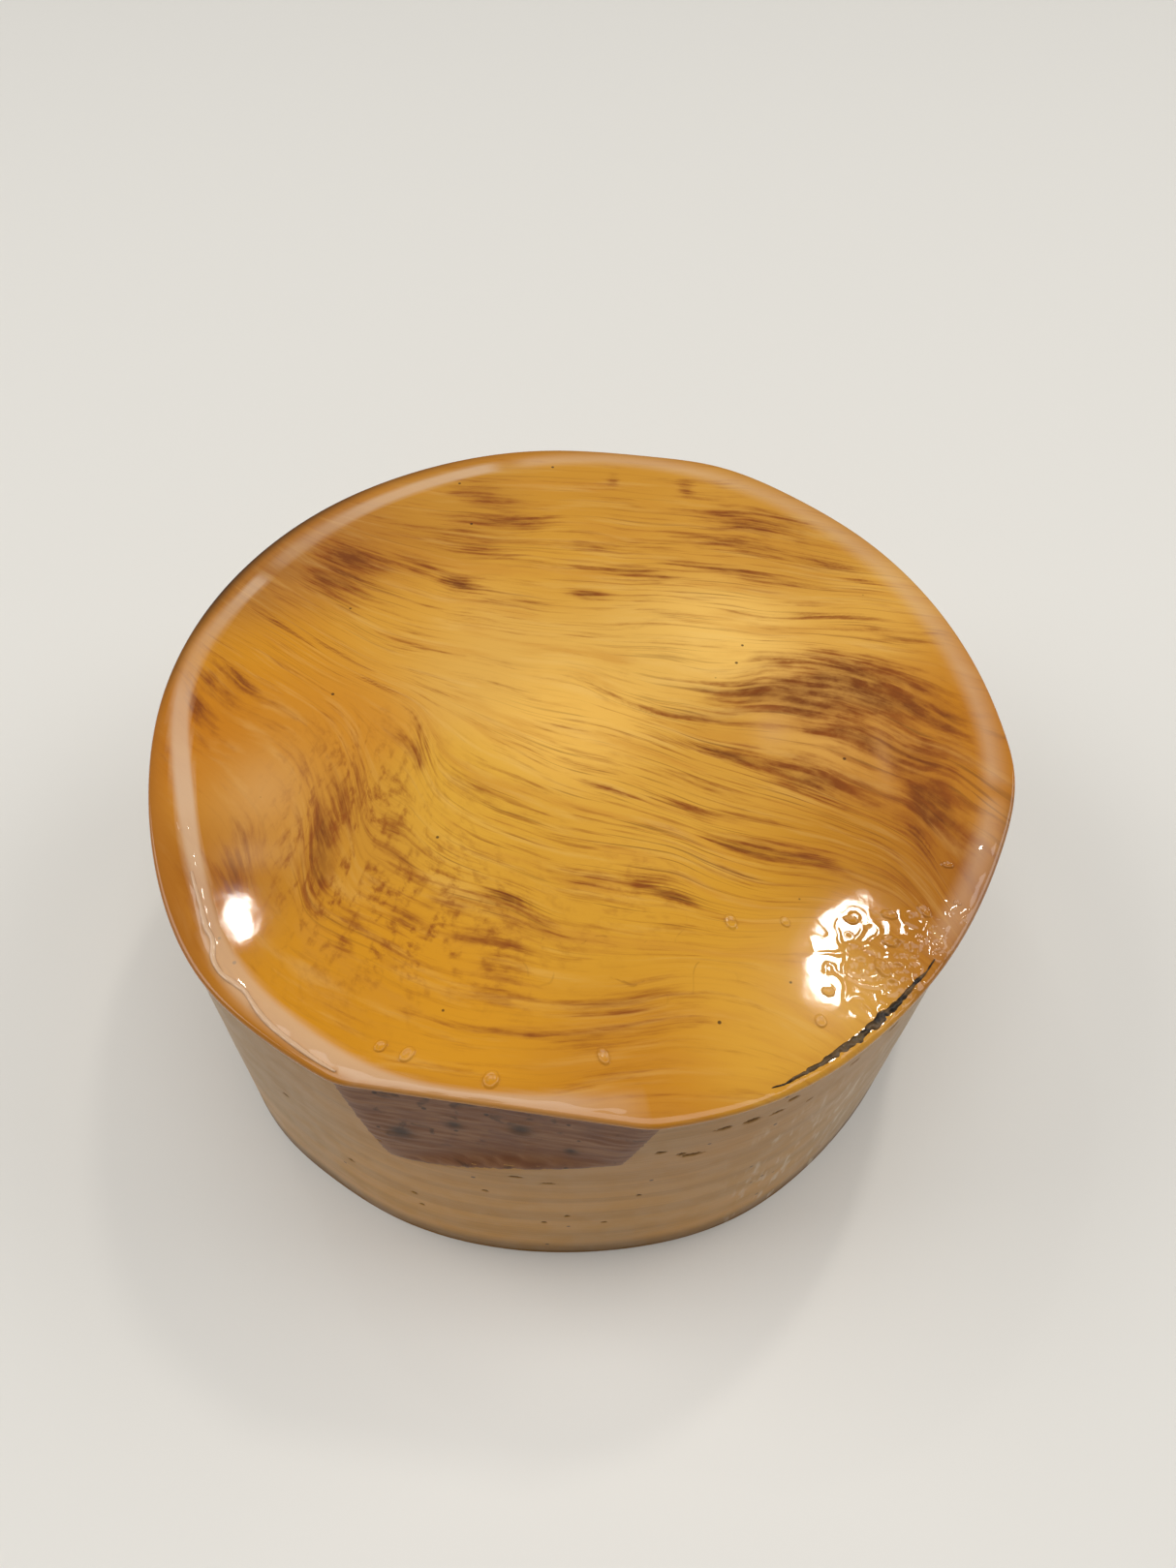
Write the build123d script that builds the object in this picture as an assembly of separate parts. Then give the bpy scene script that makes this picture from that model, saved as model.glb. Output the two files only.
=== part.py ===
from build123d import *
from math import cos, radians, sin
import os

# A wax-sealed round wood turning blank: the sawn wood, the bark left on its edge, and the wax
# that it was dipped in. The origin is the centre of the base, and +Z is up.

# Driving dimensions, in millimetres
blank_radius = 89.0  # mean radius of the top face, over the wax: a 7 inch blank
total_height = 77.0  # a 3 inch blank with its wax
lean = 1.9  # how far the saw cut leans towards +X from the base to the top

top_coat = 1.2  # thick glossy wax on the top face
base_coat = 0.8
side_coat = 0.8
lip = 0.7  # how far the top wax stands out over the side wax

# The sawn outline: angle in degrees, counter-clockwise from +X, and its share of the mean radius
outline_shares = {
    1: 1.007, 8: 1.000, 24: 0.994, 41: 0.995, 54: 0.998, 68: 1.008, 78: 0.992, 97: 0.998,
    120: 1.008, 133: 1.012, 160: 1.005, 180: 0.992, 193: 0.987, 207: 0.998, 224: 1.017, 234: 1.010,
    246: 1.007, 262: 0.998, 279: 0.997, 296: 1.006, 310: 0.998, 322: 0.994, 340: 1.003, 353: 1.019,
}

# The wane: the log's own flat outside, left where the round runs out of the log at the front
wane_azimuth = 262.2  # direction it faces
wane_reach = 0.954 * blank_radius  # from the top's centre to the wane, at the top
wane_tilt = 5.0  # it slants out towards the base
wane_bark_thickness = 0.7
wane_clear = 20.0  # cutting depth, well past the outline
wane_above = 10.0  # cutting height over the top face
wane_side = 0.34 * blank_radius
wane_foot = [(-0.34, -0.31), (-0.15, -0.29), (0.0, -0.235), (0.12, -0.21), (0.34, -0.20)]  # its lower edge

# The strip of outer bark in the top edge, at the front right
bark_azimuth = 306.0
bark_reach = 0.974 * blank_radius  # from the centre to the strip's inner face
bark_depth = 5.0
bark_inset = 1.0  # wax left outside the strip

# The milky lap, where the dip on the side runs over the dip on the top
lap_proud = 0.3
lap_thickness = 0.8
lap_inner = {
    0: 0.945, 20: 0.928, 50: 0.930, 80: 0.935, 105: 0.922, 125: 0.918, 155: 0.922, 166: 0.930, 176: 0.922,
    186: 0.898, 195: 0.885, 205: 0.893, 213: 0.910, 222: 0.932, 235: 0.942, 250: 0.945, 262: 0.928, 275: 0.920,
    300: 0.940, 330: 0.935,
}
lap_outer = {
    0: 0.985, 20: 0.980, 50: 0.978, 80: 0.972, 105: 0.960, 125: 0.958, 146: 0.960, 155: 0.957, 166: 0.972,
    176: 0.965, 186: 0.940, 195: 0.926, 205: 0.928, 213: 0.945, 222: 0.980, 235: 0.988, 250: 0.990, 275: 0.985,
    300: 0.985, 330: 0.986,
}
lap_clear = 0.6  # wax of the top coat left between the lap and the wane
lap_gap_from = 279.0  # no lap between these angles
lap_gap_to = 320.0

# Lumps of wax on the top: angle, share of the mean radius, and then their size
blisters = [
    (260.5, 0.905, 2.2), (249.5, 0.900, 1.8), (246.0, 0.905, 1.5), (274.5, 0.845, 1.6), (301.5, 0.635, 1.7),
    (309.5, 0.700, 1.3), (303.0, 0.910, 1.6), (306.5, 0.870, 1.5), (314.5, 0.905, 2.0), (318.5, 0.880, 1.9),
    (322.0, 0.845, 1.6), (325.5, 0.900, 1.6), (329.0, 0.950, 1.4), (334.0, 0.900, 1.3), (317.5, 0.790, 1.4),
]
blister_sink = 0.65  # how much of a blister's radius lies under the top face
blister_room = 5.0  # height over the top face that holds every blister
runs = [  # angle, share, length, width
    (215.0, 0.934, 8.0, 1.3), (220.5, 0.950, 6.0, 1.1), (226.0, 0.966, 8.0, 1.4), (232.0, 0.972, 8.0, 1.2),
    (238.5, 0.973, 9.0, 1.3),
]
run_height = 0.35


def placed(shares, grow, z):
    """The closed outline at height z, each radius grown by grow."""
    centre = Vector(lean * z / total_height, 0, z)
    points = []
    for angle, share in shares.items():
        radius = blank_radius * share + grow
        points.append(centre + Vector(radius * cos(radians(angle)), radius * sin(radians(angle)), 0))
    return Face(Wire([Edge.make_spline(points, periodic=True)]))


def slab(shares, grow, low, high):
    """A prism of the outline between two heights, leaning as the saw cut does."""
    rise = high - low
    return Solid.extrude(placed(shares, grow, low), Vector(lean * rise / total_height, 0, rise))


def wane_block(offset, depth):
    """The space outside the wane's plane moved out by offset, over the wane's own height."""
    facing = Vector(cos(radians(wane_azimuth)), sin(radians(wane_azimuth)), 0)
    along = Vector(-facing.Y, facing.X, 0)
    normal = facing * cos(radians(wane_tilt)) + Vector(0, 0, sin(radians(wane_tilt)))
    origin = Vector(lean, 0, total_height) + facing * wane_reach + normal * offset
    foot = [(x * blank_radius, y * blank_radius + offset) for x, y in wane_foot]
    plane = Plane(origin=origin, x_dir=along, z_dir=normal)
    sides = Polyline(foot[-1], (wane_side, wane_above), (-wane_side, wane_above), foot[0])
    return extrude(plane * make_face(Spline(*foot) + sides), amount=depth)


def beyond(azimuth, reach, low, high):
    """The space further than reach from the axis in one direction, between two heights."""
    size = 2 * blank_radius
    block = Box(size, size, high - low, align=(Align.MIN, Align.CENTER, Align.MIN))
    return Pos(lean, 0, low) * Rot(0, 0, azimuth) * Pos(reach, 0, 0) * block


def sector(low_angle, high_angle, low, high):
    """A wedge of the top between two angles, for the gap in the lap."""
    size = 2 * blank_radius
    corners = [(0, 0)]
    for angle in (low_angle, high_angle):
        corners.append((size * cos(radians(angle)), size * sin(radians(angle))))
    wedge = Pos(lean, 0, low) * make_face(Polyline(*corners, close=True))
    return extrude(wedge, amount=high - low)


def on_top(angle, share, z):
    """A place on the top face, with its X axis along the rim."""
    radius = blank_radius * share
    place = Pos(lean + radius * cos(radians(angle)), radius * sin(radians(angle)), z)
    return place * Rot(0, 0, angle + 90)


wood_low = base_coat
wood_high = total_height - top_coat
wood_grow = -lip - side_coat

# The sawn round, with the wane's surface as its front
round_shape = slab(outline_shares, wood_grow, wood_low, wood_high)
envelope = round_shape - wane_block(-side_coat - lip, wane_clear)

# Bark: the thin inner layer left on the wane, and the strip of outer bark in the edge
wane_bark = envelope & wane_block(-side_coat - lip - wane_bark_thickness, wane_bark_thickness)
bark_low = wood_high - bark_depth
bark_round = slab(outline_shares, -bark_inset, bark_low, total_height)
bark_strip = bark_round & beyond(bark_azimuth, bark_reach, bark_low, total_height)

wood_blank = envelope - wane_bark - bark_strip

# Wax: the base, side and top coats, and the lap over the top one
base_wax_coat = slab(outline_shares, -lip, 0, base_coat)
side_round = slab(outline_shares, -lip, wood_low, wood_high) - wane_block(-lip, wane_clear)
side_wax_coat = side_round - envelope - bark_strip

top_round = slab(outline_shares, 0, wood_high, total_height) - wane_block(0, wane_clear)
lap_low = total_height + lap_proud - lap_thickness
lap_high = total_height + lap_proud
lap_round = slab(lap_outer, 0, lap_low, lap_high) - wane_block(-lap_clear, wane_clear)
lap_ring = lap_round - slab(lap_inner, 0, lap_low, lap_high)
rim_wax_lap = lap_ring - sector(lap_gap_from, lap_gap_to, lap_low, lap_high)
top_wax_coat = top_round - bark_strip - rim_wax_lap

# Lumps: blisters stand on the top coat, and frozen runs on the lap
over_top = Cylinder(2 * blank_radius, blister_room, align=(Align.CENTER, Align.CENTER, Align.MIN))
over_top = Pos(lean, 0, total_height) * over_top
wax_blisters = []
for angle, share, radius in blisters:
    dome = on_top(angle, share, total_height - radius * blister_sink) * Sphere(radius)
    wax_blisters.append((dome & over_top) - rim_wax_lap)
wax_runs = []
for angle, share, length, width in runs:
    bar = extrude(on_top(angle, share, lap_high) * SlotOverall(length, width), amount=run_height)
    wax_runs.append(bar)

nodes = {
    "wood_blank": wood_blank,
    "wane_bark": wane_bark,
    "bark_strip": bark_strip,
    "top_wax_coat": top_wax_coat,
    "side_wax_coat": side_wax_coat,
    "base_wax_coat": base_wax_coat,
    "rim_wax_lap": rim_wax_lap,
    "wax_blisters": Compound(wax_blisters),
    "wax_runs": Compound(wax_runs),
}

os.makedirs("parts", exist_ok=True)
for name, shape in nodes.items():
    export_step(shape, f"parts/{name}.step")
    print(name, round(shape.volume, 1))
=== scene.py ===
# A round figured wood turning blank, dipped in wax, with a little bark left on its edge.
# Everything is in metres and stands where the CAD frame has it.
import bmesh
import bpy
import math
import random
from mathutils import Matrix, Vector, noise
from mathutils.bvhtree import BVHTree


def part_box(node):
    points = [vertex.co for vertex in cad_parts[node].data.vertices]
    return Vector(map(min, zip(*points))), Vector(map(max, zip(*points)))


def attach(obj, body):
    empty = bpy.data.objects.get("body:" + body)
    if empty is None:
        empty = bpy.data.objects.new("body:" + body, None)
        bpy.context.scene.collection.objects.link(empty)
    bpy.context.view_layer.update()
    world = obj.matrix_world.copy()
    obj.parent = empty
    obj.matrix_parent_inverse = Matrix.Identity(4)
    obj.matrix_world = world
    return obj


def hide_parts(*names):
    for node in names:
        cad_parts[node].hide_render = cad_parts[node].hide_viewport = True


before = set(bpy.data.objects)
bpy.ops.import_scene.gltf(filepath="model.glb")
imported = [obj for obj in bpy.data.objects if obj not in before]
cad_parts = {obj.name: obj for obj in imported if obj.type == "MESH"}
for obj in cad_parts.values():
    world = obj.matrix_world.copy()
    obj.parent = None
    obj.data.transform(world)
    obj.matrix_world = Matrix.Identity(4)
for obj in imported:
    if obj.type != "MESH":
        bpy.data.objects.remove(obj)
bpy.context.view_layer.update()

mm = 0.001
blank = {
    "radius": 89 * mm,  # mean radius of the top, which the shares below are of
    "lean": 1.9 * mm,  # how far the top's centre stands to the right of the base's
    "reach": 150 * mm,  # rays to the CAD skin start this far out
    "step": 0.5,  # degrees between the values kept round the rim
    "soften": 3,  # neighbours averaged each side, so the CAD's flats don't show
}
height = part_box("top_wax_coat")[1].z
topCentre = Vector((blank["lean"], 0, height))
print("frame loaded", len(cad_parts), "nodes")


def clamp(value, low=0.0, high=1.0):
    return max(low, min(high, value))


def ease(low, high, value):
    t = clamp((value - low) / (high - low))
    return t * t * (3 - 2 * t)


def hexColour(text):
    parts = [int(text[i:i + 2], 16) / 255 for i in (1, 3, 5)]
    linear = [c / 12.92 if c <= 0.04045 else ((c + 0.055) / 1.055) ** 2.4 for c in parts]
    return (*linear, 1.0)


def ring(function):
    # one value for each step round the rim, worked out once
    return [function(i * blank["step"]) for i in range(round(360 / blank["step"]))]


def around(values, angle):
    place = (angle % 360) / blank["step"]
    i, t = int(place), place % 1
    return values[i % len(values)] * (1 - t) + values[(i + 1) % len(values)] * t


def ringThrough(table):
    # a ring of values that runs smoothly through a few set ones
    angles = sorted(table)

    def value(angle):
        after = next((a for a in angles if a >= angle), angles[0])
        before = angles[angles.index(after) - 1]
        t = ease(0, 1, ((angle - before) % 360) / ((after - before) % 360 or 360))
        return table[before] * (1 - t) + table[after] * t
    return ring(value)


def heading(angle):
    return Vector((math.cos(math.radians(angle)), math.sin(math.radians(angle)), 0))


def polar(x, y):
    # angle and share of the mean radius, about the leaning axis at the top
    x -= topCentre.x
    return math.degrees(math.atan2(y, x)) % 360, math.hypot(x, y) / blank["radius"]


def axisAt(z):
    return Vector((topCentre.x * z / height, 0, z))


def surfaceOf(*names):
    points, faces = [], []
    for name in names:
        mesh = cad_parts[name].data
        start = len(points)
        points += [v.co.copy() for v in mesh.vertices]
        faces += [[start + i for i in p.vertices] for p in mesh.polygons]
    return BVHTree.FromPolygons(points, faces)


def radiusIn(tree, angle, z, inward=True):
    # where a level ray meets a CAD surface, from outside or from the axis
    centre, way = axisAt(z), heading(angle)
    start = centre + way * blank["reach"] if inward else centre
    hit = tree.ray_cast(start, -way if inward else way)[0]
    return (hit - centre).length if hit else None


coatTree = surfaceOf("top_wax_coat")
sideTree = surfaceOf("side_wax_coat")
baseTree = surfaceOf("base_wax_coat")
lapTree = surfaceOf("rim_wax_lap")
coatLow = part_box("top_wax_coat")[0].z
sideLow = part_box("side_wax_coat")[0].z
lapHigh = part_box("rim_wax_lap")[1].z


def softened(values, reach):
    count = len(values)
    rows = [[values[(i + j) % count] for j in range(-reach, reach + 1)] for i in range(count)]
    return [sum(row) / len(row) for row in rows]


rimRing = softened(ring(lambda angle: radiusIn(coatTree, angle, (coatLow + height) / 2)), blank["soften"])
lapInner = ring(lambda angle: radiusIn(lapTree, angle, (height + lapHigh) / 2, inward=False))
lapOuter = ring(lambda angle: radiusIn(lapTree, angle, (height + lapHigh) / 2))


def rimRadius(angle):
    return around(rimRing, angle)


def newPiece(name, bm, material, node):
    mesh = bpy.data.meshes.new(name)
    bm.to_mesh(mesh)
    bm.free()
    mesh.materials.append(material)
    mesh.shade_smooth()
    piece = bpy.data.objects.new(name, mesh)
    bpy.context.scene.collection.objects.link(piece)
    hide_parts(node)
    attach(piece, "root")
    print("made", name, len(mesh.polygons), "faces")
    return piece


def thicken(piece, thick):
    shell = piece.modifiers.new("thickness", "SOLIDIFY")
    shell.thickness = thick
    shell.offset = -1


def spinProfile(bm, profile, steps, angle=360.0, start=0.0):
    # a chain of points in the XZ plane, turned about the upright axis: a sliver is spun, then doubled
    doublings = 0
    while steps % 2 == 0 and steps > 16:
        steps //= 2
        doublings += 1
    sliver = math.radians(angle) / 2 ** doublings
    turn = Matrix.Rotation(math.radians(start), 4, "Z")
    verts = [bm.verts.new(turn @ Vector((x, 0, z))) for x, z in profile]
    edges = [bm.edges.new(pair) for pair in zip(verts, verts[1:])]
    bmesh.ops.spin(bm, geom=verts + edges, cent=(0, 0, 0), axis=(0, 0, 1), angle=sliver, steps=steps)
    for i in range(doublings):
        copy = bmesh.ops.duplicate(bm, geom=bm.verts[:] + bm.edges[:] + bm.faces[:])["geom"]
        copied = [part for part in copy if isinstance(part, bmesh.types.BMVert)]
        bmesh.ops.rotate(bm, verts=copied, cent=(0, 0, 0), matrix=Matrix.Rotation(sliver * 2 ** i, 3, "Z"))
    bmesh.ops.remove_doubles(bm, verts=bm.verts, dist=0.001 * mm)


# the run of the grain: the height at which each line crosses the middle, and places it passes, left to right,
# all as shares of the radius
grainLines = {
    -0.95: [
        (-1.0, -0.30), (-0.85, -0.50), (-0.7, -0.70), (-0.5, -0.85), (-0.2, -0.93), (0.5, -0.95),
        (1.0, -1.4),
    ],
    -0.80: [
        (-1.0, -0.10), (-0.9, -0.20), (-0.8, -0.30), (-0.72, -0.42), (-0.66, -0.55), (-0.55, -0.66),
        (-0.4, -0.73), (-0.2, -0.79), (0.0, -0.80), (0.4, -0.80), (1.0, -1.3),
    ],
    -0.68: [
        (-1.0, 0.12), (-0.9, 0.02), (-0.8, -0.06), (-0.7, -0.12), (-0.63, -0.20), (-0.59, -0.30),
        (-0.56, -0.42), (-0.5, -0.50), (-0.4, -0.57), (-0.25, -0.63), (0.0, -0.68), (0.4, -0.68),
        (1.0, -1.2),
    ],
    -0.57: [
        (-1.0, 0.28), (-0.9, 0.19), (-0.8, 0.12), (-0.7, 0.06), (-0.62, 0.0), (-0.55, -0.08),
        (-0.5, -0.20), (-0.46, -0.33), (-0.4, -0.39), (-0.3, -0.45), (-0.13, -0.51), (0.0, -0.57),
        (0.3, -0.60), (0.6, -0.62), (1.0, -1.1),
    ],
    -0.33: [
        (-1.0, 0.40), (-0.85, 0.30), (-0.7, 0.20), (-0.6, 0.135), (-0.5, 0.08), (-0.4, 0.015),
        (-0.37, -0.03), (-0.345, -0.10), (-0.31, -0.18), (-0.25, -0.24), (-0.15, -0.29), (0.0, -0.33),
        (0.2, -0.37), (0.3, -0.42), (0.4, -0.46), (0.6, -0.50), (0.8, -0.68), (1.0, -1.0),
    ],
    -0.17: [
        (-1.0, 0.48), (-0.85, 0.36), (-0.7, 0.255), (-0.6, 0.185), (-0.5, 0.125), (-0.4, 0.07),
        (-0.3, 0.0), (-0.2, -0.06), (-0.1, -0.115), (0.0, -0.17), (0.1, -0.21), (0.2, -0.25),
        (0.3, -0.29), (0.5, -0.33), (0.6, -0.36), (0.7, -0.42), (0.8, -0.6), (1.0, -0.95),
    ],
    0.03: [
        (-1.0, 0.56), (-0.85, 0.43), (-0.7, 0.32), (-0.6, 0.25), (-0.5, 0.19), (-0.3, 0.11),
        (-0.15, 0.07), (0.0, 0.03), (0.2, -0.04), (0.3, -0.09), (0.5, -0.18), (0.6, -0.225), (0.7, -0.27),
        (0.76, -0.32), (0.8, -0.42), (0.9, -0.7), (1.0, -0.9),
    ],
    0.11: [
        (-1.0, 0.62), (-0.85, 0.48), (-0.7, 0.37), (-0.6, 0.30), (-0.5, 0.24), (-0.3, 0.18),
        (-0.15, 0.145), (0.0, 0.11), (0.1, 0.055), (0.2, 0.015), (0.3, 0.0), (0.5, -0.02), (0.7, -0.08),
        (0.8, -0.13), (0.87, -0.18), (1.0, -0.35),
    ],
    0.24: [
        (-1.0, 0.70), (-0.8, 0.55), (-0.7, 0.47), (-0.6, 0.40), (-0.5, 0.34), (-0.3, 0.28), (0.0, 0.24),
        (0.2, 0.22), (0.45, 0.215), (0.6, 0.19), (0.75, 0.14), (0.9, 0.08), (1.0, 0.05),
    ],
    0.39: [
        (-1.0, 0.80), (-0.7, 0.61), (-0.55, 0.54), (-0.4, 0.475), (-0.3, 0.43), (-0.1, 0.40), (0.2, 0.38),
        (0.5, 0.35), (0.75, 0.35), (1.0, 0.30),
    ],
    0.66: [(-1.0, 0.88), (-0.6, 0.72), (-0.3, 0.67), (0.0, 0.66), (0.4, 0.62), (0.6, 0.57), (1.0, 0.48)],
    0.88: [(-1.0, 0.98), (0.0, 0.88), (0.5, 0.85), (1.0, 0.75)],
}
grainStep = 0.01


def runThrough(points, x):
    # a smooth curve through the points, straight on past its ends
    i = max(0, min(len(points) - 2, sum(1 for p in points if p[0] <= x) - 1))
    (x0, y0), (x1, y1) = points[i], points[i + 1]
    before, after = points[max(0, i - 1)], points[min(len(points) - 1, i + 2)]
    slope0 = (y1 - before[1]) / (x1 - before[0])
    slope1 = (after[1] - y0) / (after[0] - x0)
    wide = x1 - x0
    t = clamp((x - x0) / wide)
    start = (1 + 2 * t) * (1 - t) ** 2 * y0 + t * (1 - t) ** 2 * wide * slope0
    return start + t * t * (3 - 2 * t) * y1 + t * t * (t - 1) * wide * slope1


grainLevels = list(grainLines)
grainSheaf = [[runThrough(grainLines[level], -1.1 + i * grainStep) for level in grainLevels]
              for i in range(round(2.2 / grainStep) + 2)]


def grainAt(x, y):
    # along the grain and across it, as shares of the radius
    place = (clamp(x, -1.09, 1.09) + 1.1) / grainStep
    i, t = int(place), place % 1
    lines = [a * (1 - t) + b * t for a, b in zip(grainSheaf[i], grainSheaf[i + 1])]
    k = max(0, min(len(lines) - 2, sum(1 for line in lines if line <= y) - 1))
    share = (y - lines[k]) / max(0.005, lines[k + 1] - lines[k])
    across = grainLevels[k] + share * (grainLevels[k + 1] - grainLevels[k])
    return x - y + across, across


# dark flames: place, half length along the grain, half width across it, strength
flames = [
    ((-0.60, 0.53), 0.16, 0.085, 1.00), ((-0.66, 0.44), 0.12, 0.060, 0.90),
    ((-0.42, 0.50), 0.14, 0.045, 0.75), ((-0.31, 0.44), 0.06, 0.035, 1.00),
    ((-0.19, 0.68), 0.14, 0.035, 0.90), ((-0.25, 0.78), 0.10, 0.070, 0.55),
    ((-0.42, 0.64), 0.14, 0.050, 0.55), ((-0.24, 0.56), 0.11, 0.030, 0.65),
    ((0.05, 0.60), 0.20, 0.022, 0.65), ((0.02, 0.42), 0.07, 0.025, 0.85),
    ((-0.10, 0.37), 0.10, 0.030, 0.55), ((0.12, 0.50), 0.18, 0.020, 0.75),
    ((0.38, 0.51), 0.18, 0.022, 0.80), ((0.43, 0.70), 0.12, 0.038, 0.95),
    ((0.55, 0.67), 0.12, 0.045, 0.60), ((0.35, 0.63), 0.10, 0.022, 0.80),
    ((0.46, 0.59), 0.12, 0.028, 0.60), ((0.62, 0.54), 0.16, 0.022, 0.65),
    ((0.56, 0.46), 0.10, 0.018, 0.60), ((0.73, 0.48), 0.05, 0.020, 0.70),
    ((0.60, 0.35), 0.20, 0.014, 0.55), ((0.70, 0.30), 0.18, 0.012, 0.55),
    ((0.29, 0.825), 0.03, 0.030, 1.00), ((0.09, 0.865), 0.02, 0.030, 0.80),
    ((-0.74, 0.29), 0.13, 0.030, 0.95), ((-0.62, 0.22), 0.10, 0.024, 0.90),
    ((-0.48, 0.10), 0.12, 0.016, 0.75), ((-0.82, 0.12), 0.13, 0.050, 0.75),
    ((-0.90, 0.06), 0.10, 0.060, 0.60), ((-0.40, 0.23), 0.13, 0.016, 0.45),
    ((-0.36, -0.05), 0.10, 0.030, 1.05), ((-0.36, -0.12), 0.06, 0.022, 0.80),
    ((-0.60, -0.17), 0.16, 0.022, 0.70), ((-0.49, -0.20), 0.14, 0.055, 0.55),
    ((-0.56, -0.34), 0.09, 0.050, 0.95), ((-0.55, -0.44), 0.08, 0.045, 0.80),
    ((-0.72, -0.35), 0.10, 0.020, 0.80), ((-0.74, -0.44), 0.12, 0.050, 0.70),
    ((-0.40, -0.32), 0.04, 0.020, 0.70), ((-0.36, -0.42), 0.10, 0.016, 0.70),
    ((-0.26, -0.52), 0.10, 0.018, 0.70), ((-0.46, -0.54), 0.07, 0.022, 0.65),
    ((-0.35, -0.55), 0.05, 0.020, 0.85), ((-0.47, -0.61), 0.04, 0.014, 0.70),
    ((-0.38, -0.64), 0.07, 0.018, 0.55), ((-0.14, -0.49), 0.07, 0.020, 1.10),
    ((-0.07, -0.55), 0.08, 0.022, 0.75), ((-0.14, -0.62), 0.09, 0.060, 0.50),
    ((-0.23, -0.20), 0.16, 0.024, 0.55), ((0.16, -0.46), 0.07, 0.030, 0.80),
    ((0.23, -0.49), 0.045, 0.012, 1.30), ((0.04, -0.45), 0.08, 0.026, 0.55),
    ((0.42, -0.37), 0.12, 0.035, 0.95), ((0.53, -0.38), 0.07, 0.028, 0.80),
    ((0.34, -0.35), 0.10, 0.018, 0.65), ((0.44, 0.09), 0.12, 0.026, 0.95),
    ((0.50, 0.11), 0.10, 0.020, 0.85), ((0.66, 0.14), 0.16, 0.048, 1.10),
    ((0.79, 0.09), 0.14, 0.050, 1.05), ((0.47, 0.21), 0.07, 0.016, 0.80),
    ((0.60, 0.06), 0.20, 0.030, 0.65), ((0.20, 0.02), 0.22, 0.010, 0.80),
    ((0.62, -0.03), 0.28, 0.026, 0.65), ((0.80, -0.10), 0.16, 0.034, 0.75),
    ((0.88, 0.00), 0.07, 0.030, 0.80), ((0.44, -0.14), 0.20, 0.026, 0.80),
    ((0.62, -0.19), 0.18, 0.026, 0.80), ((0.30, -0.08), 0.14, 0.016, 0.65),
    ((0.78, -0.22), 0.10, 0.022, 0.90), ((0.55, -0.22), 0.14, 0.016, 0.80),
    ((0.76, -0.33), 0.08, 0.050, 1.00), ((0.84, -0.28), 0.08, 0.018, 0.80),
    ((0.30, -0.19), 0.14, 0.012, 0.70), ((0.08, -0.20), 0.16, 0.010, 0.75),
    ((0.26, -0.25), 0.12, 0.014, 0.75), ((0.86, -0.42), 0.08, 0.050, 0.65),
    ((0.72, -0.46), 0.10, 0.050, 0.60), ((0.10, -0.74), 0.12, 0.045, 0.60),
    ((-0.05, -0.80), 0.28, 0.012, 0.65), ((0.03, -0.83), 0.10, 0.030, 0.50),
    ((0.12, -0.88), 0.12, 0.030, 0.45), ((-0.15, -0.71), 0.08, 0.030, 0.35),
]
# where fine dark lines run thick: place, half width, half height, strength
hairs = [
    ((0.42, -0.14), 0.45, 0.26, 1.0), ((0.45, 0.35), 0.45, 0.20, 0.6), ((0.05, 0.62), 0.65, 0.22, 0.6),
    ((-0.65, 0.35), 0.25, 0.22, 0.7), ((-0.02, -0.30), 0.28, 0.18, 0.8), ((0.20, -0.42), 0.40, 0.14, 0.8),
    ((0.80, -0.25), 0.20, 0.30, 1.0), ((0.15, -0.08), 0.22, 0.14, 0.6), ((-0.40, -0.48), 0.25, 0.14, 0.7),
]
# where short marks cross the figure beside and under the knot
ripples = [
    ((-0.50, -0.22), 0.16, 0.18, 1.1), ((-0.40, -0.50), 0.22, 0.18, 1.1),
    ((-0.56, -0.38), 0.10, 0.12, 0.8), ((-0.20, -0.60), 0.22, 0.14, 0.6),
    ((0.15, -0.46), 0.10, 0.10, 0.5),
]
# painted reflection: pale patches where the wax mirrors the bright room, painted into the colour
paintedReflectionPlaces = [
    ((-0.70, -0.22), 0.09, 0.11, 0.38), ((-0.70, -0.39), 0.07, 0.04, 0.35),
    ((0.52, -0.68), 0.12, 0.12, 0.35), ((0.46, -0.03), 0.04, 0.05, 0.35),
    ((0.71, -0.11), 0.02, 0.08, 0.25),
]
# fine curved checks
checks = [((0.10, -0.63), 0.17, 0.07, 1.0)]
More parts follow.
